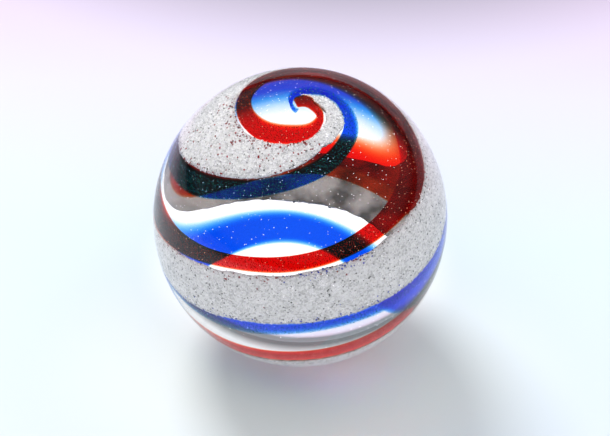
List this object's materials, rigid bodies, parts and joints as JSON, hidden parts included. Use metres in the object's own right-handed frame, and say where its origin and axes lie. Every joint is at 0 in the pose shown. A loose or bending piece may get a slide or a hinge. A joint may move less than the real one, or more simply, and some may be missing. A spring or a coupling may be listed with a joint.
{
  "type": "glass marble",
  "caption": "Clear glass marble with red, white frit and blue glass ribbons that spiral round it from a hooked swirl at the top to a second swirl below.",
  "frame": {"origin": "centre of the marble", "axes": "+Z along the twist axis, out through the small hooked swirl; -Y towards the side that the picture shows"},
  "size_m": [0.025, 0.025, 0.026],
  "materials": {
    "clear_glass": "polished clear glass with a few fine bubbles",
    "red_glass": "polished transparent red glass, paler at its edges",
    "white_frit": "fused white frit with dark, red and grey grains",
    "blue_glass": "polished transparent blue glass, paler at its edges"
  },
  "bodies": {
    "root": {"clear_glass_body": "clear_glass", "red_glass_ribbon": "red_glass", "white_frit_band": "white_frit", "blue_glass_ribbon": "blue_glass"}
  },
  "joints": []
}
